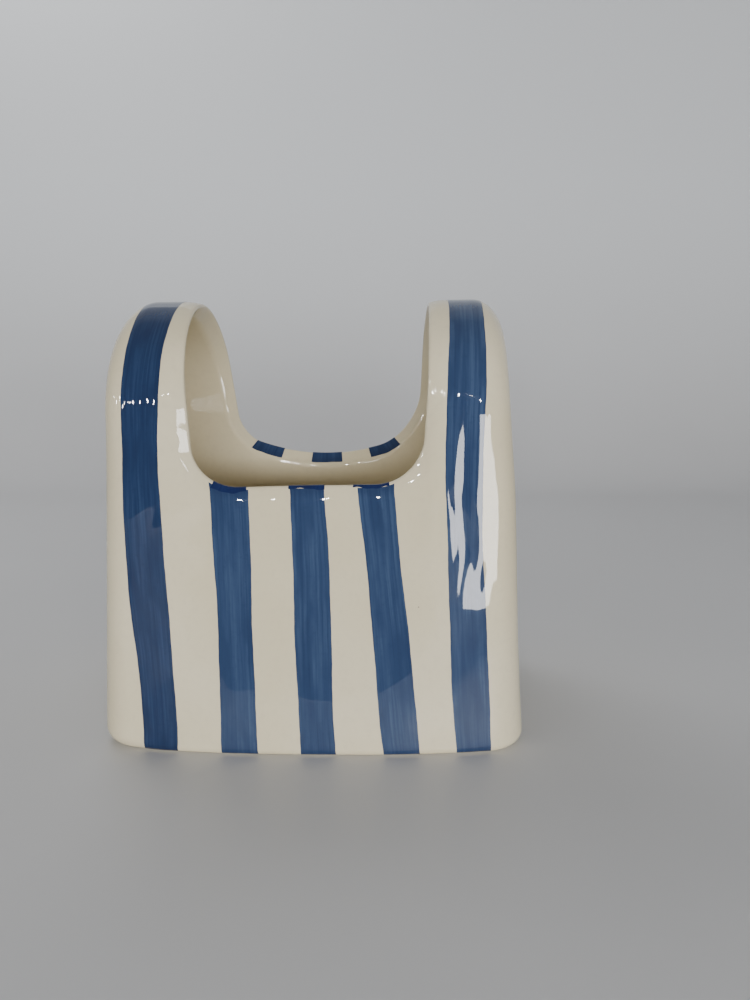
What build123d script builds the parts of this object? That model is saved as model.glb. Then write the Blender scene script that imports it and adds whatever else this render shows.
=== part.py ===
from build123d import *
import os
from math import atan2, degrees, pi, sin

# A glazed ceramic vessel in the shape of a plastic carrier bag, in millimetres.
# X runs across the width, -Y is the front, +Z is up, and the origin is the
# middle of the foot on the surface that the vessel stands on.

# overall form
BASE_WIDTH = 160.0        # across the foot
TOP_WIDTH = 144.0         # across both handles, at the crest
HEIGHT = 165.0
CORNER_DEPTH = 102.0      # front to back at the foot, measured at the corners
BASE_BULGE = 4.0          # how far the foot swells out in the middle of a wall
SPRING_DEPTH = 90.0       # front to back where the handles start to curl over
ARCH_OVERLAP = 2.0        # how far that curl starts outside the walls
MOUTH_PINCH = 9.0         # how far the walls draw in below the middle of the mouth
PLAN_CORNER = 14.0        # upright corners
CREST_CORNER = 14.0       # outer end of each handle's crest
CREST_OVERLAP = 0.5       # how far that rounding starts outside the side wall

# clay
WALL = 6.5
FLOOR = 7.0

# mouth
FRONT_SILL = 97.0         # height of the front rim
BACK_SILL = 100.5         # height of the back rim in the middle
FRONT_SAG = 0.5           # how far the front rim rises towards its corners
BACK_SAG = 3.0            # how far the back rim rises towards its corners
SILL_WIDTH = 81.0         # between the handles, at the rim
GAP_TOP_WIDTH = 89.0      # between the handles, at the crest
FRONT_CORNER = 17.0
BACK_CORNER = 24.0

# seams between the slabs of clay
SEAM_TURN = 2.0           # how far a side slab's edge turns onto the front and back

# painted strokes, as places across the width
PAINT = 0.4               # thickness of the fired-on colour
STROKE = 13.0             # width of one brush stroke
STROKE_FOOT = 1.5         # bare foot below the strokes
PANEL_FOOT = (-25.5, 3.0, 33.5)
PANEL_WAIST = (-27.5, 0.8, 28.5)
PANEL_RIM = (-28.7, -0.9, 24.5)
WAIST_HEIGHT = 60.0
BACK_STROKES = (-26.0, 0.7, 26.5)
LEFT_FROM_SIDE = (25.0, 19.0, 16.0)    # handle stroke's middle, in from the side wall
RIGHT_FROM_SIDE = (20.0, 20.0, 14.5)   # at the foot, the waist and the crest
DAB_DROP = 2.2            # how far a dab runs down over the lip
NAMES = ("left", "middle", "right")
REACH = 400.0             # longer than the whole vessel

ARCH_RADIUS = SPRING_DEPTH / 2 + ARCH_OVERLAP
SPRING_HEIGHT = HEIGHT - ARCH_RADIUS


def slope(low, high, z):
    """Straight taper from the foot to the crest."""
    return low + (high - low) * z / HEIGHT


def half_width(z):
    return slope(BASE_WIDTH, TOP_WIDTH, z) / 2


def half_depth(z):
    """Half the depth at the corners: tapers up to the spring line."""
    return (CORNER_DEPTH + (SPRING_DEPTH - CORNER_DEPTH) * z / SPRING_HEIGHT) / 2


def swell(z):
    """How far a wall's middle stands out (foot) or draws in (mouth)."""
    share = sin(pi / 2 * min(z / FRONT_SILL, 1.0)) ** 2
    return BASE_BULGE - (BASE_BULGE + MOUTH_PINCH) * share


def plan_section(z, inset):
    """The outline seen from above at one height."""
    x = half_width(z) - inset
    y = half_depth(z) - inset
    out = swell(z)
    front = ThreePointArc((-x, -y), (0, -y - out), (x, -y))
    back = ThreePointArc((x, y), (0, y + out), (-x, y))
    sides = Line((x, -y), (x, y)) + Line((-x, y), (-x, -y))
    outline = make_face([front, back] + sides.edges())
    outline = fillet(outline.vertices(), PLAN_CORNER - inset)
    return Plane.XY.offset(z) * outline


def tapered_body(inset):
    """The upright body before its top is shaped."""
    steps = 8
    heights = [HEIGHT * i / (steps - 1) for i in range(steps)]
    return loft([plan_section(z, inset) for z in heights])


def side_arch(inset):
    """The side view: a round arch that the handles curl over."""
    radius = ARCH_RADIUS - inset
    middle = HEIGHT - ARCH_RADIUS
    arch = Pos(0, 0, middle) * Rot(0, 90, 0) * Cylinder(radius, REACH)
    return arch + Pos(0, 0, middle - REACH / 2) * Box(REACH, REACH, REACH)


def front_outline(inset):
    """The front view: the outer ends of both crests are rounded."""
    middle = HEIGHT - inset - CREST_CORNER
    reach = half_width(middle) - inset + CREST_OVERLAP - CREST_CORNER
    bars = [Pos(x, 0, middle) * Rot(90, 0, 0) * Cylinder(CREST_CORNER, REACH) for x in (-reach, reach)]
    top = Pos(0, 0, middle) * Box(2 * reach, REACH, 2 * CREST_CORNER)
    below = Pos(0, 0, middle - REACH / 2) * Box(REACH, REACH, REACH)
    return bars[0] + bars[1] + top + below


def vessel_form(inset):
    """The outer shape, or the same shape moved inwards by an inset."""
    return tapered_body(inset) & side_arch(inset) & front_outline(inset)


def mouth_half(sill, sag, corner, grow):
    """The opening in one wall, as a prism to the front, grown by a margin."""
    foot = SILL_WIDTH / 2 + grow
    low = sill - grow
    rise = REACH / 2 - low
    reach = foot + (GAP_TOP_WIDTH - SILL_WIDTH) / 2 * rise / (HEIGHT - low)
    with BuildSketch(Plane.XZ) as sketch:
        with BuildLine():
            ThreePointArc((-foot, low + sag), (0, low), (foot, low + sag))
            Polyline((foot, low + sag), (reach, low + rise), (-reach, low + rise), (-foot, low + sag))
        make_face()
        fillet(sketch.vertices().sort_by(Axis.Y)[:2], corner + grow)
    return extrude(sketch.sketch, REACH)


def to_back(prism):
    return prism.mirror(Plane.XZ)


def mouth_front(grow=0.0):
    return mouth_half(FRONT_SILL, FRONT_SAG, FRONT_CORNER, grow)


def mouth_back(grow=0.0):
    return to_back(mouth_half(BACK_SILL, BACK_SAG, BACK_CORNER, grow))


def above(z):
    return Pos(0, 0, z + REACH / 2) * Box(REACH, REACH, REACH)


def beside(side):
    """Everything outside the seam of one side slab; side is -1 or 1."""
    lean = degrees(atan2((BASE_WIDTH - TOP_WIDTH) / 2, HEIGHT))
    seam = BASE_WIDTH / 2 - WALL - SEAM_TURN
    block = Pos(REACH / 2, 0, 0) * Box(REACH, REACH, REACH)
    return Pos(side * seam, 0, 0) * Rot(0, -side * lean, 0) * (block if side > 0 else block.mirror(Plane.YZ))


def stroke_prism(points):
    """One brush stroke seen from the front, as a prism to the front."""
    left = [(x - STROKE / 2, z) for x, z in points]
    right = [(x + STROKE / 2, z) for x, z in reversed(points)]
    with BuildSketch(Plane.XZ) as sketch:
        with BuildLine():
            Spline(*left)
            Line(left[-1], right[0])
            Spline(*right)
            Line(right[-1], left[0])
        make_face()
    return extrude(sketch.sketch, REACH)


def panel_stroke(foot, waist, rim):
    return stroke_prism([(foot, STROKE_FOOT), (waist, WAIST_HEIGHT), (rim, HEIGHT)])


def handle_stroke(side, from_side):
    heights = (STROKE_FOOT, WAIST_HEIGHT, HEIGHT)
    points = [(side * (half_width(z) - inward), z) for z, inward in zip(heights, from_side)]
    prism = stroke_prism(points[:-1] + [points[-1], (points[-1][0], HEIGHT + WALL)])
    return prism + to_back(prism)


outer = vessel_form(0)
skin = outer - vessel_form(PAINT)
front_gap = mouth_front()
back_gap = mouth_back()
shell = outer - (vessel_form(WALL) & above(FLOOR)) - front_gap - back_gap

nodes = {}
nodes["left_handle_stripe"] = skin & handle_stroke(-1, LEFT_FROM_SIDE)
nodes["right_handle_stripe"] = skin & handle_stroke(1, RIGHT_FROM_SIDE)
for index, name in enumerate(NAMES):
    front = panel_stroke(PANEL_FOOT[index], PANEL_WAIST[index], PANEL_RIM[index])
    place = BACK_STROKES[index]
    back = to_back(panel_stroke(place, place, place))
    for face, prism, gap, dab_zone, lip in (
        ("front", front, front_gap, mouth_front(DAB_DROP), mouth_front(PAINT)),
        ("back", back, back_gap, mouth_back(DAB_DROP), mouth_back(PAINT)),
    ):
        nodes[f"{face}_stripe_{name}"] = skin & (prism - dab_zone)
        over_edge = skin & (prism & dab_zone - gap)
        along_lip = shell & (prism & lip - gap)
        nodes[f"{face}_lip_dab_{name}"] = over_edge + along_lip

clay = shell
for stroke in nodes.values():
    clay = clay - stroke
walls = clay & above(FLOOR)
middle = walls - beside(-1) - beside(1)
rear = Pos(0, REACH / 2, 0) * Box(REACH, REACH, REACH)
nodes["base_slab"] = clay - above(FLOOR)
nodes["left_side_slab"] = walls & beside(-1)
nodes["right_side_slab"] = walls & beside(1)
nodes["front_slab"] = middle - rear
nodes["back_slab"] = middle & rear

os.makedirs("parts", exist_ok=True)
for name, shape in nodes.items():
    export_step(shape, f"parts/{name}.step")
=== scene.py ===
"""A glazed ceramic vessel in the shape of a carrier bag, with hand-painted blue strokes.

The clay is one smooth form described by distance functions in millimetres: a
point is inside the clay where clay_field is below zero. The body's mesh and
every painted stroke are laid on that one surface, so they meet without a gap.
"""
import itertools
import math
import bpy
import numpy as np
from mathutils import Matrix, Vector


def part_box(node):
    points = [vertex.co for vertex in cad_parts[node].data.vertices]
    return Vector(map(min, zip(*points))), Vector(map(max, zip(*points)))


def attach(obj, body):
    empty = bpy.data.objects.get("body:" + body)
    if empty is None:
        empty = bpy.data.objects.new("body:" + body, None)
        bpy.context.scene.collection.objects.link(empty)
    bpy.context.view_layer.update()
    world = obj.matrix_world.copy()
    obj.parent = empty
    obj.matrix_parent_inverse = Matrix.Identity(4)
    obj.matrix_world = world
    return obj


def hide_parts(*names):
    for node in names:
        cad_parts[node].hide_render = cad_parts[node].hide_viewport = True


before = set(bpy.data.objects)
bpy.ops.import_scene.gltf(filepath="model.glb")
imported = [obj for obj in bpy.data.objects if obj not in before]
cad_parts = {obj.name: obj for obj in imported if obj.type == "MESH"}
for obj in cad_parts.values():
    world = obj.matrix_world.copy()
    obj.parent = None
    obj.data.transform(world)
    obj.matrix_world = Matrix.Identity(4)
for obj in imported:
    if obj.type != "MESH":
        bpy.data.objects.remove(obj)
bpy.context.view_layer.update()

MM = 0.001
SIDES = (-1, 1)


def corners(node):
    """A CAD node's lowest and highest corners, in millimetres."""
    low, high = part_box(node)
    return np.array(low) / MM, np.array(high) / MM


# ---------------------------------------------------------------- sizes, in millimetres
HALF_WIDTH, HALF_DEPTH, FLOOR = corners("base_slab")[1]
HEIGHT = corners("right_handle_stripe")[1][2] - 0.12    # less the colour that lies on it
FRONT_SILL = corners("front_lip_dab_middle")[1][2]
BACK_SILL = corners("back_lip_dab_middle")[1][2]
CREST_HALF_WIDTH = 72.0
UNEVENNESS = 0.30         # room for what hand_marks adds at the foot
BASE_BULGE = 4.0          # how far the foot's middle stands out in front of its corners
BULGE_HEIGHT = 70.0
MOUTH_PINCH = 9.0         # how far the walls draw in under the mouth
PINCH_REACH = 80.0        # half the width that the pinch spreads over
CORNER_DEPTH = HALF_DEPTH - BASE_BULGE - UNEVENNESS
SIDE_TAPER = 0.0508       # how far the walls lean in as they rise
PLAN_CORNER = 14.0        # upright corners
CREST_CORNER = {-1: 11.5, 1: 11.0}    # outer end of each handle's crest, left and right
FOOT_ROUND = 3.0
FOOT_CORNER = {-1: 6.0, 1: 4.2}       # the foot's rounding at its left and right corners
WALL = 6.5
FLOOR_ROUND = 7.0

SILL_HALF = 40.6          # half the mouth's width at the rim
GAP_TOP_HALF = 44.6       # and at the crest
FRONT_SAG, BACK_SAG = 0.3, 9.0
FRONT_TILT = 0.016        # how fast the front rim rises to the right
LEFT_CORNERS = (15.0, 8.5)    # the mouth's lower corners, front and back
RIGHT_CORNERS = (17.0, 17.0)
BACK_LEFT_DRAW = 3.1      # how far the back left corner stands in from the side
LIP_SLOPE = 1.15          # the lip falls inwards
LIP_HEEL = 2.6            # and lies this far above the mouth's outline at the outside
SHOULDER_SLOPE = 2.0      # the wall leans in at this slope below the lip
SHOULDER = 2.9            # starting this far down
CREST_SHOULDER = 1.4      # and less over the handles
SHOULDER_ROUND = 1.6
RIDGE_ROUND = 1.7
EDGE_ROUND = 0.9          # the lip's inner edge

LEAN = math.atan2(HALF_WIDTH - CREST_HALF_WIDTH, HEIGHT)
TAPER = math.atan(SIDE_TAPER)
ARCH_RADIUS = (CORNER_DEPTH - HEIGHT * SIDE_TAPER) / (1 / math.cos(TAPER) - SIDE_TAPER)
ARCH_MIDDLE = HEIGHT - ARCH_RADIUS
CAVITY_MIDDLE = np.array([0.0, 0.0, 60.0])


# places where fingers or the sponge pressed the front in (below 0) or left it
# proud: how far, across and up, and how wide and tall the place is
PRESSES = (
    (-0.95, (56.5, 92), (4.8, 27)),
    (-0.90, (64.5, 86), (4.2, 27)),
    (0.60, (45, 95), (4.2, 28)),
    (-0.30, (61, 66), (3.6, 9)),
    (0.20, (53, 104), (2.2, 13)),
    (-0.20, (57.5, 77), (2.4, 6)),
    (0.16, (66, 72), (2.2, 8)),
    (-0.14, (63, 98), (2.0, 10)),
    (0.30, (-52, 119), (4.0, 6)),
    (-0.25, (-60, 112), (4.5, 8)),
)


# ---------------------------------------------------------------- the clay form
def round_join(a, b, radius):
    """Both shapes at once, with their shared edge rounded."""
    over = np.hypot(np.maximum(a + radius, 0), np.maximum(b + radius, 0))
    return np.minimum(np.maximum(a, b), -radius) + over


def ease(t):
    """A smooth step from 0 to 1."""
    t = np.clip(t, 0, 1)
    return t * t * (3 - 2 * t)


def bump(x, z, at, size):
    """A soft round hill of height 1."""
    return np.exp(-(((x - at[0]) / size[0]) ** 2) - ((z - at[1]) / size[1]) ** 2)


def swell(x, z):
    """How far the front and back walls stand out (foot) or draw in (mouth)."""
    bulge = BASE_BULGE * (1 - (x / HALF_WIDTH) ** 2) * (1 - ease(z / BULGE_HEIGHT))
    across = np.cos(np.clip(x / PINCH_REACH, -1, 1) * math.pi / 2) ** 2
    rise = ease(z / FRONT_SILL) * (1 - ease((z - ARCH_MIDDLE) / (0.7 * ARCH_RADIUS)))
    return bulge - MOUTH_PINCH * across * rise


def hand_marks(x, y, z):
    """Shallow unevenness left by hands and sponge."""
    broad = 0.30 * np.sin(x / 19 + 1.3) * np.sin(z / 27 + 0.6) + 0.16 * np.sin(x / 9.5 - z / 21 + y / 30)
    fine = 0.045 * np.sin(x / 3.1 + 1.7 * np.sin(z / 9)) * np.sin(z / 5.3 + np.sin(x / 6))
    press = sum(depth * bump(x, z, at, size) for depth, at, size in PRESSES)
    right = 0.028 * np.sin(1.9 * x + 2.0 * np.sin(z / 7)) * bump(x, z, (58, 88), (9, 26))
    left = 0.050 * np.sin(1.25 * x + 1.6 * np.sin(z / 1.9)) * bump(x, z, (-57, 121), (9, 12))
    lip = 0.050 * np.sin(z / 1.6 + x / 3) * bump(x, z, (-46, 110), (5, 14))
    lean = -1.2 * ease((x - 52) / 20) * np.exp(-(((z - 130) / 26) ** 2))
    return broad + fine + ease(-y / 15) * (press + right + left + lip) + lean


def walls_field(p):
    """Distance outside the walls and crests, with no foot and no mouth."""
    x, y, z = np.moveaxis(p, -1, 0)
    depth = np.abs(y) - swell(x, z)
    upright = (depth + (z - ARCH_MIDDLE) * SIDE_TAPER) * math.cos(TAPER) - ARCH_RADIUS
    arch = np.hypot(np.maximum(depth, 0), z - ARCH_MIDDLE) - ARCH_RADIUS
    profile = np.where(z - ARCH_MIDDLE > depth * SIDE_TAPER, arch, upright)
    half = HALF_WIDTH + (CREST_HALF_WIDTH - HALF_WIDTH) * z / HEIGHT
    side = (np.abs(x) - half) * math.cos(LEAN)
    crest = np.where(x > 0, CREST_CORNER[1], CREST_CORNER[-1])
    corner = PLAN_CORNER + (crest - PLAN_CORNER) * ease((z - 105) / 45)
    return round_join(side, profile, corner) - hand_marks(x, y, z) * ease((HEIGHT - z) / 6)


def outer_field(p):
    """The same, cut off at the foot with a rounded edge."""
    x = p[..., 0]
    corner = np.where(x > 0, FOOT_CORNER[1], FOOT_CORNER[-1])
    foot = FOOT_ROUND + (corner - FOOT_ROUND) * ease((np.abs(x) - 52) / 22)
    return round_join(walls_field(p), -p[..., 2], foot)


def cavity_field(p):
    """Below zero in the hollow."""
    return round_join(walls_field(p) + WALL, FLOOR - p[..., 2], FLOOR_ROUND)


def gap_half(x, y, z):
    """Half the width between the handles."""
    lean = (GAP_TOP_HALF - SILL_HALF) * (z - FRONT_SILL) / (HEIGHT - FRONT_SILL)
    draw = BACK_LEFT_DRAW * ease(y / 20) * ease(-x / 20) * (1 - ease((z - FRONT_SILL) / 60))
    return SILL_HALF + lean - draw


def mouth_field(p):
    """Below zero in the U-shaped mouth, seen from the front."""
    x, y, z = np.moveaxis(p, -1, 0)
    back = y > 0
    front_sill = FRONT_SILL + FRONT_TILT * (x + 30) * ease((60 - np.abs(x)) / 20)
    sag = np.where(back, BACK_SAG, FRONT_SAG) * (x / SILL_HALF) ** 2
    sill = np.where(back, BACK_SILL, front_sill) + sag
    left = np.where(back, LEFT_CORNERS[1], LEFT_CORNERS[0])
    right = np.where(back, RIGHT_CORNERS[1], RIGHT_CORNERS[0])
    return round_join(sill - z, np.abs(x) - gap_half(x, y, z), np.where(x < 0, left, right))


def trimmed_field(p):
    """The outside of the clay with the mouth cut and its lip rounded over."""
    within = np.clip(-walls_field(p), 0, WALL + 2)
    mouth = mouth_field(p)
    start = SHOULDER + (CREST_SHOULDER - SHOULDER) * ease((p[..., 2] - 130) / 25)
    lip = (LIP_SLOPE * within - LIP_HEEL - mouth) / math.hypot(1, LIP_SLOPE)
    shoulder = (start - SHOULDER_SLOPE * within - mouth) / math.hypot(1, SHOULDER_SLOPE)
    return round_join(round_join(outer_field(p), shoulder, SHOULDER_ROUND), lip, RIDGE_ROUND)


def clay_field(p):
    """Below zero inside the clay."""
    return round_join(trimmed_field(p), -cavity_field(p), EDGE_ROUND)


def slope_of(field, p, step=0.02):
    """Which way a field rises fastest, as unit vectors, and how fast."""
    shifts = np.eye(3) * step
    rise = np.stack([field(p + s) - field(p - s) for s in shifts], -1) / (2 * step)
    size = np.linalg.norm(rise, axis=-1, keepdims=True)
    return rise / size, size[..., 0]


def cross(inside, outside, field, rounds=40):
    """Where each straight line from inside to outside leaves the field's shape."""
    for _ in range(rounds):
        middle = (inside + outside) / 2
        out = (field(middle) > 0)[..., None]
        outside = np.where(out, middle, outside)
        inside = np.where(out, inside, middle)
    return (inside + outside) / 2


def settle(p, field, lift=0.0, rounds=3):
    """Moves points straight onto a surface, or to a height above it."""
    for _ in range(rounds):
        way, rate = slope_of(field, p)
        p = p - way * ((field(p) - lift) / np.maximum(rate, 0.3))[..., None]
    return p


# ---------------------------------------------------------------- lines along the lip
GRIP = (4.5, 3.2)         # a lip section's middle: below the ridge, and in from the outside


def lip_quarter(side, face, dense=240):
    """The outside line just below the lip, from the rim's middle to the crest."""
    turn = np.linspace(-math.pi / 2, 0, dense)
    way = np.stack([side * np.cos(turn), 0 * turn, np.sin(turn)], -1)
    start = np.broadcast_to([0.0, 40.0 * face, ARCH_MIDDLE], way.shape)
    flat = cross(start, start + 95 * way, lambda p: mouth_field(p) - GRIP[0])
    low = cross(flat * [1, 0, 1] + [0, face * 0.01, 0], flat * [1, 0, 1] + [0, face * 75, 0], outer_field)
    curl = np.linspace(0, math.pi / 2, dense)[1:]

    def along(reach):
        y = face * reach * np.cos(curl)
        z = ARCH_MIDDLE + reach * np.sin(curl)
        gap = gap_half(side * SILL_HALF, y, z)
        return np.stack([side * (gap + GRIP[0]), y, z], -1)

    near, far = np.full(dense - 1, 20.0), np.full(dense - 1, 70.0)
    for _ in range(40):
        middle = (near + far) / 2
        out = outer_field(along(middle)) > 0
        near, far = np.where(out, near, middle), np.where(out, middle, far)
    return np.concatenate([low, along(near)])


def spread(line, count, share=None):
    """Evenly spaced points along a line, or at the given shares of its length."""
    run = np.concatenate([[0], np.cumsum(np.linalg.norm(np.diff(line, axis=0), axis=1))])
    share = np.linspace(0, 1, count) if share is None else share
    return np.stack([np.interp(share * run[-1], run, line[:, k]) for k in range(3)], -1)


def lip_loop(count):
    """The whole line round the mouth, from the front rim's middle to the right."""
    quarters = {(s, f): spread(lip_quarter(s, f), count + 1) for s in SIDES for f in SIDES}
    return np.concatenate([
        quarters[1, -1][:-1],
        quarters[1, 1][:0:-1],
        quarters[-1, 1][:-1],
        quarters[-1, -1][:0:-1],
    ])


def lip_sections(loop, angles):
    """The lip's rounded section at each point of a line below it.

    Angle 0 points out of the wall, a quarter turn up into the mouth, and half
    a turn into the cavity.
    """
    out, _ = slope_of(outer_field, loop)
    up, _ = slope_of(lambda p: -mouth_field(p), loop)
    up = up - out * (up * out).sum(-1, keepdims=True)
    up = up / np.linalg.norm(up, axis=-1, keepdims=True)
    middle = loop - out * GRIP[1]
    angles = angles.reshape(len(angles), -1, 1)
    way = np.cos(angles) * out + np.sin(angles) * up
    start = np.broadcast_to(middle, way.shape)
    return cross(start, start + 14 * way, clay_field)


# ---------------------------------------------------------------- the body's mesh
LOOP_COUNT = 84           # points in a quarter of each loop
OUTSIDE_ROWS, LIP_ROWS, INSIDE_ROWS = 84, 44, 64
RING_SHARES = (0.25, 0.4, 0.6, 0.8, 0.93)


def foot_loop(count, inset, height):
    """A rounded rectangle round the foot, matched to the lip loop quarter by quarter."""
    quarters = {}
    for side in SIDES:
        for face in SIDES:
            turn = np.linspace(0, math.pi / 2, 24)
            x = HALF_WIDTH - inset
            y = HALF_DEPTH - inset
            r = PLAN_CORNER - inset
            bend = np.stack([x - r + r * np.sin(turn), y - r + r * np.cos(turn)], -1)
            path = np.concatenate([[[0, y]], bend, [[x, 0]]])
            line = np.column_stack([side * path[:, 0], face * path[:, 1], np.full(len(path), height)])
            quarters[side, face] = spread(line, count + 1)
    return np.concatenate([
        quarters[1, -1][:-1],
        quarters[1, 1][:0:-1],
        quarters[-1, 1][:-1],
        quarters[-1, -1][:0:-1],
    ])


def meridians(start, end, field, count, spacing, turning):
    """Rows of points over a surface from one loop to another, closer where it bends."""
    a = start - CAVITY_MIDDLE
    b = end - CAVITY_MIDDLE
    a = a / np.linalg.norm(a, axis=-1, keepdims=True)
    b = b / np.linalg.norm(b, axis=-1, keepdims=True)
    gap = np.arccos(np.clip((a * b).sum(-1), -1, 1))[None, :, None]
    t = np.linspace(0, 1, 360)[:, None, None]
    way = (np.sin((1 - t) * gap) * a + np.sin(t * gap) * b) / np.sin(gap)
    origin = np.broadcast_to(CAVITY_MIDDLE, way.shape)
    path = cross(origin, origin + 260 * way, field)
    step = np.linalg.norm(np.diff(path, axis=0), axis=-1)
    facing, _ = slope_of(field, path)
    bend = np.arccos(np.clip((facing[1:] * facing[:-1]).sum(-1), -1, 1))
    cost = np.concatenate([np.zeros((1, len(start))), np.cumsum(step / spacing + bend / turning, axis=0)])
    rows = np.empty((count, len(start), 3))
    for i in range(len(start)):
        at = np.linspace(0, cost[-1, i], count)
        for k in range(3):
            rows[:, i, k] = np.interp(at, cost[:, i], path[:, i, k])
    return rows


def inward_rings(loop, shares):
    """Flat rings that shrink towards the middle of a level loop."""
    middle = loop.mean(axis=0)
    return np.stack([middle + (loop - middle) * share for share in shares])


def body_rows():
    """All the loops of points of the body, from under the foot to the floor inside."""
    loop = lip_loop(LOOP_COUNT)
    sections = lip_sections(loop, np.linspace(0, math.pi, LIP_ROWS))
    foot = foot_loop(LOOP_COUNT, FOOT_CORNER[-1] + 0.5, 0.0)
    outside = meridians(sections[0], foot, outer_field, OUTSIDE_ROWS, 2.4, math.radians(8))[::-1]
    well = foot_loop(LOOP_COUNT, WALL + FLOOR_ROUND, FLOOR)
    inside = meridians(sections[-1], well, cavity_field, INSIDE_ROWS, 3.0, math.radians(10))
    below = inward_rings(outside[0], RING_SHARES)
    floor = inward_rings(inside[-1], RING_SHARES[::-1])
    walls = np.concatenate([outside, sections[1:-1], inside])
    walls = settle(walls, clay_field)
    return np.concatenate([below, walls, floor])


def add_mesh(name, points, faces, facing=None):
    """A mesh object from points in millimetres, with its normals where given."""
    mesh = bpy.data.meshes.new(name)
    mesh.from_pydata((points * MM).tolist(), [], faces)
    mesh.polygons.foreach_set("use_smooth", [True] * len(mesh.polygons))
    mesh.update()
    if facing is not None:
        mesh.normals_split_custom_set_from_vertices(facing.tolist())
    piece = bpy.data.objects.new(name, mesh)
    bpy.context.scene.collection.objects.link(piece)
    return piece


def loop_faces(rows, count):
    """Quads between neighbouring closed loops."""
    here = np.arange(count)
    beyond = (here + 1) % count
    faces = []
    for row in range(rows - 1):
        low, high = row * count, (row + 1) * count
        faces += np.stack([low + here, low + beyond, high + beyond, high + here], -1).tolist()
    return faces


def build_body(glaze, bare_clay):
    rows = body_rows()
    count = rows.shape[1]
    points = rows.reshape(-1, 3)
    faces = loop_faces(len(rows), count)
    first = list(range(count))[::-1]
    last = [len(points) - count + i for i in range(count)]
    faces += [first, last]
    facing, _ = slope_of(clay_field, points)
    body = add_mesh("vessel_body", points, faces, facing)
    body.data.materials.append(glaze)
    body.data.materials.append(bare_clay)
    under = 0.12 * MM
    for face in body.data.polygons:
        if max(body.data.vertices[v].co.z for v in face.vertices) < under:
            face.material_index = 1
    return body


# ---------------------------------------------------------------- painted strokes
STROKE_LIFT = 0.09        # the colour stands this far above the clay
DAB_LIFT = 0.16
STROKE_SINK = -0.14       # and its edges dip this far below it
STROKE_ROOT = -0.30
STROKE_FOOT = 0.9
STROKE_TOP = 0.8          # the panel strokes end this far below the ridge, under a dab
STROKE_EDGE = 0.16        # the width of that dip
DAB_END = 163             # how far round the lip a dab ends, in degrees
DAB_ROWS, DAB_COLUMNS = 26, 41
STROKE_ROWS = 84
ACROSS = np.linspace(-1, 1, 15)

# each stroke's middle across the width, at a few heights, and its width
HANDLE_STROKES = {
    "left_handle_stripe": (((2, -55.2), (50, -57.3), (90, -59.2), (135, -57.8), (163, -57.2)), 13.0),
    "right_handle_stripe": (((2, 60.3), (60, 57.0), (110, 56.0), (163, 57.6)), 12.9),
}
PANEL_STROKES = {
    "front_stripe_left": (-1, ((3, -25.5), (45, -26.9), (98, -28.8)), 13.0),
    "front_stripe_middle": (-1, ((3, 3.3), (60, 0.9), (98, -0.9)), 12.9),
    "front_stripe_right": (-1, ((3, 33.7), (45, 29.5), (98, 24.4)), 12.9),
    "back_stripe_left": (1, ((3, -24.8), (50, -26.2), (101, -26.2)), 13.4),
    "back_stripe_middle": (1, ((3, 1.8), (50, 0.4), (101, 0.7)), 13.2),
    "back_stripe_right": (1, ((3, 29.5), (50, 27.4), (101, 26.4)), 12.9),
}
# each dab's face, middle, width and how far round from the wall it starts, in degrees
LIP_DABS = {
    "front_lip_dab_left": (-1, -29.3, 13.5, (34, 50)),
    "front_lip_dab_middle": (-1, -0.9, 13.1, (58, 52)),
    "front_lip_dab_right": (-1, 23.2, 14.2, (58, 54)),
    "back_lip_dab_left": (1, -26.2, 13.6, (38, 42)),
    "back_lip_dab_middle": (1, 0.7, 13.4, (40, 38)),
    "back_lip_dab_right": (1, 26.4, 12.9, (42, 38)),
}


def through(marks, z):
    """The smooth curve through a stroke's marks, at the heights asked."""
    heights, places = np.array(marks, float).T
    return np.polyval(np.polyfit(heights, places, len(heights) - 1), z)


def brush_edge(run, seed):
    """How a brush stroke's edge wanders, in millimetres."""
    wide = 0.30 * np.sin(run / 15 + seed) + 0.10 * np.sin(run / 6.1 + 2.1 * seed)
    return wide + 0.04 * np.sin(run / 2.3 + 3.7 * seed) + 0.03 * np.sin(run / 0.9 + 5.3 * seed)


def between_edges(middle, width, run, seed):
    """Places across a stroke, row by row, between its two wandering edges."""
    left = middle - width / 2 + brush_edge(run, seed)
    right = middle + width / 2 + brush_edge(run, seed + 1.9)
    return left[:, None] + (right - left)[:, None] * (ACROSS + 1) / 2


def runs_of(points):
    """How far each row lies along a stroke, at its middle."""
    spine = points[:, points.shape[1] // 2]
    return np.concatenate([[0], np.cumsum(np.linalg.norm(np.diff(spine, axis=0), axis=1))])


def handle_surface(marks, width, seed):
    """A stroke up the front, over the crest and down the back, on the clay."""
    rise = np.concatenate([np.arange(STROKE_FOOT, 4, 0.35), np.arange(4, ARCH_MIDDLE, 1.6)])
    curl = np.linspace(0, math.pi, STROKE_ROWS)
    down = rise[::-1]
    flat = np.zeros(len(rise))
    origin_z = np.concatenate([rise, np.full(len(curl), ARCH_MIDDLE), down])
    way = np.concatenate([
        np.stack([flat, flat - 1, flat], -1),
        np.stack([0 * curl, -np.cos(curl), np.sin(curl)], -1),
        np.stack([flat, flat + 1, flat], -1),
    ])
    height = origin_z + ARCH_RADIUS * way[:, 2]
    run = height * np.where(way[:, 1] < 0, 1, -1)
    x = between_edges(through(marks, height), width, run, seed)
    start = np.stack([x, 0 * x, 0 * x + origin_z[:, None]], -1)
    return cross(start, start + 90 * way[:, None, :], outer_field)


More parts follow.
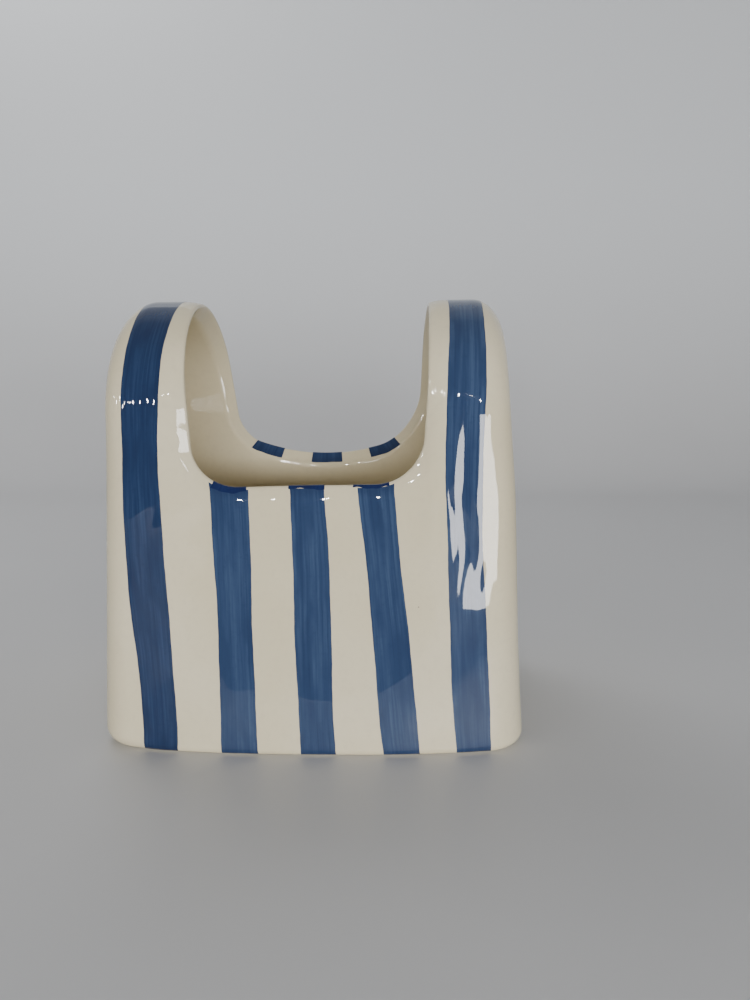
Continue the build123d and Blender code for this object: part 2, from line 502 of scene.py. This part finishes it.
def panel_surface(face, marks, width, seed):
    """A stroke up one wall, which ends along the rim under its dab."""
    share = (1 - np.cos(np.linspace(0, math.pi, STROKE_ROWS))) / 2
    rough = STROKE_FOOT + share * (FRONT_SILL - STROKE_FOOT)
    x = between_edges(through(marks, rough), width, rough, seed)
    low = np.stack([x[-1], 0 * x[-1] + face, 0 * x[-1] + FRONT_SILL / 2], -1)
    high = low + [0, 0, FRONT_SILL / 2 + 25]
    rim = cross(low, high, lambda p: STROKE_TOP - mouth_field(p))[:, 2]
    z = STROKE_FOOT + share[:, None] * (rim - STROKE_FOOT)
    start = np.stack([x, 0 * x, z], -1)
    return cross(start, start + [0, face * 90, 0], outer_field)


def dab_surface(face, middle, width, starts, seed):
    """A short second stroke wrapped over the lip."""
    line = np.concatenate([lip_quarter(-1, face)[::-1], lip_quarter(1, face)[1:]])
    line = line[line[:, 2] < ARCH_MIDDLE]
    columns = np.linspace(middle - width / 2, middle + width / 2, DAB_COLUMNS)
    loop = np.stack([np.interp(columns, line[:, 0], line[:, k]) for k in range(3)], -1)
    wave = 3 * np.sin(columns / 1.9 + seed) + 1.5 * np.sin(columns / 0.8 + 2 * seed)
    first = np.radians(np.linspace(*starts, len(columns)) + wave)
    last = np.radians(DAB_END + 0.5 * wave)
    share = np.linspace(0, 1, DAB_ROWS)[:, None]
    return lip_sections(loop, first + share * (last - first))


def pad(grid):
    """One more row and column of points all round, a little further out."""

    def beyond(edge, inner):
        way = edge - inner
        return edge + STROKE_EDGE * way / np.linalg.norm(way, axis=-1, keepdims=True)

    grid = np.concatenate([beyond(grid[:1], grid[1:2]), grid, beyond(grid[-1:], grid[-2:-1])])
    left = beyond(grid[:, :1], grid[:, 1:2])
    right = beyond(grid[:, -1:], grid[:, -2:-1])
    return np.concatenate([left, grid, right], axis=1)


def skin_faces(rows, columns):
    """Quads over a grid, over a second grid under it, and between their borders."""
    index = np.arange(rows * columns).reshape(rows, columns)
    quads = np.stack([index[:-1, :-1], index[:-1, 1:], index[1:, 1:], index[1:, :-1]], -1).reshape(-1, 4)
    rim = np.concatenate([index[0, :-1], index[:-1, -1], index[-1, :0:-1], index[:0:-1, 0]])
    beyond = np.roll(rim, -1)
    half = rows * columns
    sides = np.stack([rim, rim + half, beyond + half, beyond], -1)
    return np.concatenate([quads, quads[:, ::-1] + half, sides])


def mark_stroke(piece, top, seed):
    """Keeps each point's place in the stroke, for the brush marks."""
    rows, columns = top.shape[:2]
    run = runs_of(top)
    along = np.broadcast_to(run[:, None], (rows, columns))
    places = {
        "across": np.broadcast_to(np.linspace(-1, 1, columns), (rows, columns)),
        "along": along,
        "from_end": np.minimum(along, run[-1] - along),
        "stroke": np.full((rows, columns), seed),
    }
    for label, values in places.items():
        layer = piece.data.attributes.new(label, "FLOAT", "POINT")
        layer.data.foreach_set("value", np.tile(values.ravel(), 2).astype(np.float32))


def build_stroke(name, surface, lift, seed, paint):
    """A closed thin skin of colour laid on the clay."""
    grid = pad(surface)
    rows, columns = grid.shape[:2]
    height = np.full((rows, columns), lift)
    height[[0, -1]] = STROKE_SINK
    height[:, [0, -1]] = STROKE_SINK
    top = settle(grid, trimmed_field, height)
    root = settle(grid, trimmed_field, STROKE_ROOT)
    facing, _ = slope_of(trimmed_field, top)
    points = np.concatenate([top.reshape(-1, 3), root.reshape(-1, 3)])
    normals = np.concatenate([facing.reshape(-1, 3), -facing.reshape(-1, 3)])
    faces = skin_faces(rows, columns)
    a, b, c, _ = faces[(rows - 1) * (columns - 1) // 2]
    if np.dot(np.cross(points[b] - points[a], points[c] - points[a]), normals[a]) < 0:
        faces = faces[:, ::-1]
    piece = add_mesh(name, points, faces.tolist(), normals)
    mark_stroke(piece, top, seed)
    piece.data.materials.append(paint)
    return piece


# ---------------------------------------------------------------- shader maths
class Value:
    """A number that changes over a surface; its operators add Math nodes."""

    def __init__(self, recipe, socket):
        self.recipe = recipe
        self.socket = socket

    def _with(self, operation, *numbers):
        inputs = {i: n for i, n in enumerate(numbers)}
        return self.recipe.node("ShaderNodeMath", {"operation": operation}, inputs).value(0)

    def __add__(self, other):
        return self._with("ADD", self, other)

    def __sub__(self, other):
        return self._with("SUBTRACT", self, other)

    def __rsub__(self, other):
        return self._with("SUBTRACT", other, self)

    def __mul__(self, other):
        return self._with("MULTIPLY", self, other)

    def __abs__(self):
        return self._with("ABSOLUTE", self)

    def over(self, low, high):
        """0 below low, 1 above high, smooth between."""
        settings = {"interpolation_type": "SMOOTHSTEP"}
        inputs = {"Value": self, "From Min": low, "From Max": high}
        return self.recipe.node("ShaderNodeMapRange", settings, inputs).value("Result")

    __radd__ = __add__
    __rmul__ = __mul__


class Node:
    """A shader node whose outputs come back as Values or plain sockets."""

    def __init__(self, recipe, node):
        self.recipe = recipe
        self.node = node

    def value(self, output):
        return Value(self.recipe, self.node.outputs[output])

    def out(self, output):
        return self.node.outputs[output]


class Recipe:
    """One material in the making."""

    def __init__(self, name):
        self.material = bpy.data.materials.new(name)
        self.material.use_nodes = True
        self.tree = self.material.node_tree
        self.surface = self.tree.nodes["Principled BSDF"]
        self.place = self.node("ShaderNodeTexCoord", {}, {}).out("Object")

    def node(self, kind, settings, inputs):
        node = self.tree.nodes.new(kind)
        for key, setting in settings.items():
            setattr(node, key, setting)
        self.set(node, inputs)
        return Node(self, node)

    def set(self, node, inputs):
        for key, given in inputs.items():
            given = given.socket if isinstance(given, Value) else given
            if isinstance(given, bpy.types.NodeSocket):
                self.tree.links.new(given, node.inputs[key])
            else:
                node.inputs[key].default_value = given

    def finish(self, **inputs):
        """Sets the glaze's own sockets, with _ for a space in their names."""
        self.set(self.surface, {key.replace("_", " "): value for key, value in inputs.items()})
        return self.material

    def attribute(self, name):
        return self.node("ShaderNodeAttribute", {"attribute_name": name}, {}).value("Fac")

    def point(self, x, y, z):
        return self.node("ShaderNodeCombineXYZ", {}, {"X": x, "Y": y, "Z": z}).out("Vector")

    def noise(self, where, scale, detail=2.0, roughness=0.5, distortion=0.0):
        inputs = {"Vector": where, "Scale": scale, "Detail": detail, "Roughness": roughness}
        inputs["Distortion"] = distortion
        return self.node("ShaderNodeTexNoise", {}, inputs).value(0)

    def mix(self, share, a, b):
        """From colour a to colour b."""
        settings = {"data_type": "RGBA", "clamp_factor": True}
        return self.node("ShaderNodeMix", settings, {0: share, 6: a, 7: b}).out(2)

    def specks(self, scale, size, share):
        """Round spots of about the given size, in a share of the cells."""
        cell = self.node("ShaderNodeTexVoronoi", {}, {"Vector": self.place, "Scale": scale})
        pick = self.node("ShaderNodeSeparateColor", {}, {"Color": cell.out("Color")}).value(0)
        chosen = pick.over(1 - share, 1 - share + 0.01)
        return (1 - cell.value("Distance").over(size * scale * 0.5, size * scale)) * chosen

    def bump(self, height, depth):
        inputs = {"Strength": 1.0, "Distance": depth, "Height": height}
        return self.node("ShaderNodeBump", {}, inputs).out("Normal")


def colour(red, green, blue):
    return (red, green, blue, 1.0)


GLAZE = {
    "Roughness": 0.6,
    "Specular IOR Level": 0.0,
    "Coat Weight": 1.0,
    "Coat Roughness": 0.03,
    "Coat IOR": 1.52,
}


def glaze_ripple(recipe):
    """The faint unevenness that glaze dries and melts with."""
    slow = recipe.noise(recipe.place, 75.0, detail=1.0)
    quick = recipe.noise(recipe.place, 330.0, detail=2.0)
    return recipe.bump(slow + 0.12 * quick, 0.00022)


def glazed(recipe, base):
    recipe.set(recipe.surface, GLAZE)
    return recipe.finish(Base_Color=base, Normal=glaze_ripple(recipe))


def cream_glaze():
    """Clear glaze over cream clay, with clouding and a few iron specks."""
    recipe = Recipe("cream_glaze")
    cloud = recipe.noise(recipe.place, 16.0, detail=3.0)
    grain = recipe.noise(recipe.place, 420.0, detail=2.0)
    base = recipe.mix(cloud.over(0.3, 0.7), colour(0.76, 0.668, 0.458), colour(0.81, 0.725, 0.52))
    base = recipe.mix(0.10 * grain.over(0.45, 0.75), base, colour(0.56, 0.47, 0.34))
    base = recipe.mix(0.75 * recipe.specks(150.0, 0.0004, 0.06), base, colour(0.16, 0.10, 0.06))
    return glazed(recipe, base)


# each blue where it pools, over most of a stroke, and where the brush leaves it thin
BLUES = {
    "stroke_blue": (
        colour(0.014, 0.031, 0.090), colour(0.028, 0.056, 0.130), colour(0.058, 0.100, 0.192),
    ),
    "loaded_blue": (
        colour(0.007, 0.018, 0.062), colour(0.012, 0.031, 0.090), colour(0.026, 0.056, 0.132),
    ),
    "front_dab_blue": (
        colour(0.003, 0.010, 0.058), colour(0.006, 0.020, 0.100), colour(0.014, 0.040, 0.150),
    ),
    "back_dab_blue": (
        colour(0.008, 0.022, 0.075), colour(0.018, 0.042, 0.115), colour(0.040, 0.072, 0.165),
    ),
}


def brushed_blue(name, deep, body, pale):
    """Blue colour brushed on in one pull, streaked along the stroke, under clear glaze."""
    recipe = Recipe(name)
    across = recipe.attribute("across")
    along = recipe.attribute("along")
    seed = recipe.attribute("stroke")
    hairs = recipe.noise(recipe.point(across * 7.5, along * 0.018, seed), 1.0, detail=4.0, roughness=0.66)
    pull = recipe.noise(recipe.point(across * 1.3, along * 0.04, seed + 7), 1.0, detail=2.0)
    pooled = recipe.noise(recipe.point(across * 5, along * 0.6, seed + 3), 1.0, detail=3.0)
    base = recipe.mix(0.75 * hairs.over(0.42, 0.70) * pull.over(0.30, 0.62), body, pale)
    base = recipe.mix(0.50 * (1 - hairs.over(0.28, 0.50)), base, deep)
    base = recipe.mix(0.35 * (1 - pull.over(0.32, 0.52)), base, deep)
    base = recipe.mix(0.22 * pooled.over(0.5, 0.8), base, deep)
    border = abs(across).over(0.86, 0.96)
    base = recipe.mix(0.35 * border, base, deep)
    end = 1 - recipe.attribute("from_end").over(0.4, 5.0)
    base = recipe.mix(0.55 * end, base, deep)
    fringe = abs(across).over(0.975, 1.0)
    base = recipe.mix(0.45 * fringe, base, colour(0.45, 0.50, 0.60))
    return glazed(recipe, base)


def bare_clay():
    """The unglazed underside."""
    recipe = Recipe("bare_clay")
    grain = recipe.noise(recipe.place, 600.0, detail=4.0)
    stain = recipe.noise(recipe.place, 30.0, detail=3.0)
    base = recipe.mix(stain, colour(0.62, 0.53, 0.41), colour(0.70, 0.62, 0.50))
    base = recipe.mix(0.35 * grain.over(0.45, 0.7), base, colour(0.48, 0.39, 0.29))
    return recipe.finish(Base_Color=base, Roughness=0.85, Normal=recipe.bump(grain, 0.0002))


def shelf_white():
    """A pale, slightly glossy floor under a lighter wall; the floor's greyer colour is painted shade on a
    shelf that is one white throughout.
    """
    recipe = Recipe("shelf_white")
    haze = recipe.noise(recipe.place, 9.0, detail=3.0)
    height = recipe.node("ShaderNodeSeparateXYZ", {}, {"Vector": recipe.place}).value(2)
    # painted shade: the floor gets a greyer colour than the wall, from the same white, where less light falls
    # on it
    floor = recipe.mix(haze, colour(0.60, 0.60, 0.605), colour(0.64, 0.64, 0.645))
    base = recipe.mix(height.over(0.0, 0.35), floor, colour(0.84, 0.86, 0.88))
    return recipe.finish(Base_Color=base, Roughness=0.36 + 0.08 * haze, Specular_IOR_Level=0.22)


# ---------------------------------------------------------------- stage, lights and camera
def build_stage(material):
    """A floor that curves up into a backdrop."""
    width, front, back, rise, bend = 3.0, -1.0, 0.62, 1.9, 0.16
    profile = [(front, 0.0), (back - bend, 0.0)]
    for step in range(1, 13):
        turn = step / 12 * math.pi / 2
        profile.append((back - bend + bend * math.sin(turn), bend - bend * math.cos(turn)))
    profile.append((back, rise))
    points = np.array([(x, y, z) for y, z in profile for x in (-width, width)]) / MM
    faces = [(2 * i, 2 * i + 1, 2 * i + 3, 2 * i + 2) for i in range(len(profile) - 1)]
    stage = add_mesh("shelf_and_wall", points, faces)
    stage.data.materials.append(material)


def add_light(name, place, aim, size, power, shine):
    """A rectangular light, in metres, pointed at a place.

    With shine it shows only as a reflection, otherwise it only lights things.
    """
    lamp = bpy.data.lights.new(name, "AREA")
    lamp.shape = "RECTANGLE"
    lamp.size, lamp.size_y = size
    lamp.energy = power
    light = bpy.data.objects.new(name, lamp)
    light.location = place
    light.rotation_euler = (Vector(aim) - Vector(place)).to_track_quat("-Z", "Y").to_euler()
    light.visible_diffuse = not shine
    light.visible_glossy = shine
    light.visible_camera = False
    bpy.context.scene.collection.objects.link(light)


# the small lamps, from left to right: degrees off the front, and height in metres
LAMPS = (
    (-74, 0.37), (-63, 0.33), (-52, 0.40), (-40, 0.31), (-33, 0.36),
    (-17, 0.38), (-10, 0.36), (0, 0.385), (5, 0.40),
)
LAMP_DISTANCE = 1.25


def build_lights():
    """Low soft light from the front, with a window and a row of lamps that only the glaze shows."""
    middle = (0, 0, 0.09)
    add_light("soft_key", (0.25, -1.35, 0.19), middle, (1.0, 0.24), 15.5, shine=False)
    add_light("side_fill", (-0.9, -1.0, 0.34), middle, (0.7, 0.3), 1.8, shine=False)
    add_light("back_fill", (-0.35, 0.50, 0.75), middle, (0.6, 0.4), 2.5, shine=False)
    beside = (0.060, -0.05, 0.083)
    add_light("low_window", (0.122, -0.235, 0.082), beside, (0.145, 0.098), 0.75, shine=True)
    for number, (turn, height) in enumerate(LAMPS):
        turn = math.radians(turn)
        place = (LAMP_DISTANCE * math.sin(turn), -LAMP_DISTANCE * math.cos(turn), height)
        add_light(f"lamp_{number}", place, middle, (0.030, 0.045), 0.9, shine=True)
    world = bpy.data.worlds.new("pale_room")
    world.use_nodes = True
    sky = world.node_tree.nodes["Background"]
    sky.inputs["Color"].default_value = colour(0.80, 0.81, 0.83)
    sky.inputs["Strength"].default_value = 0.33
    bpy.context.scene.world = world


def build_camera():
    """Close in front, a little to the right, looking down."""
    place = Vector((0.0320, -0.3118, 0.1450))
    yaw, pitch, roll = math.radians(1.64), math.radians(10.87), math.radians(-0.35)
    ahead = Vector((-math.sin(yaw), math.cos(yaw), 0))
    right = Vector((math.cos(yaw), math.sin(yaw), 0))
    up = Vector((0, 0, 1))
    view = ahead * math.cos(pitch) - up * math.sin(pitch)
    top = up * math.cos(pitch) + ahead * math.sin(pitch)
    level = right * math.cos(roll) + top * math.sin(roll)
    upright = top * math.cos(roll) - right * math.sin(roll)
    lens = bpy.data.cameras.new("camera")
    lens.lens = 27.72
    lens.sensor_width = 36
    lens.clip_start = 0.01
    camera = bpy.data.objects.new("camera", lens)
    turn = Matrix((level, upright, -view)).transposed()
    camera.matrix_world = Matrix.Translation(place) @ turn.to_4x4()
    bpy.context.scene.collection.objects.link(camera)
    bpy.context.scene.camera = camera


# ---------------------------------------------------------------- putting it together
def finish_piece(piece, slot, *nodes):
    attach(piece, "root")
    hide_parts(*nodes)


def add_strokes():
    """Every painted piece, each with its own seed for the wander of its edges."""
    paint = {name: brushed_blue(name, *shades) for name, shades in BLUES.items()}
    seeds = itertools.count(1.0, 2.3)
    for name, (marks, width) in HANDLE_STROKES.items():
        seed = next(seeds)
        blue = paint["loaded_blue" if name == "left_handle_stripe" else "stroke_blue"]
        surface = handle_surface(marks, width, seed)
        stroke = build_stroke(f"{name}_paint", surface, STROKE_LIFT, seed, blue)
        finish_piece(stroke, "blue_underglaze", name)
    for name, (face, marks, width) in PANEL_STROKES.items():
        seed = next(seeds)
        blue = paint["stroke_blue"]
        surface = panel_surface(face, marks, width, seed)
        stroke = build_stroke(f"{name}_paint", surface, STROKE_LIFT, seed, blue)
        finish_piece(stroke, "blue_underglaze", name)
    for name, (face, middle, width, starts) in LIP_DABS.items():
        seed = next(seeds)
        blue = paint["front_dab_blue" if face < 0 else "back_dab_blue"]
        surface = dab_surface(face, middle, width, starts, seed)
        dab = build_stroke(f"{name}_paint", surface, DAB_LIFT, seed, blue)
        finish_piece(dab, "dark_blue_underglaze", name)


body = build_body(cream_glaze(), bare_clay())
finish_piece(body, "cream_glaze", "base_slab", "front_slab", "back_slab", "left_side_slab", "right_side_slab")
add_strokes()
build_stage(shelf_white())
build_lights()
build_camera()
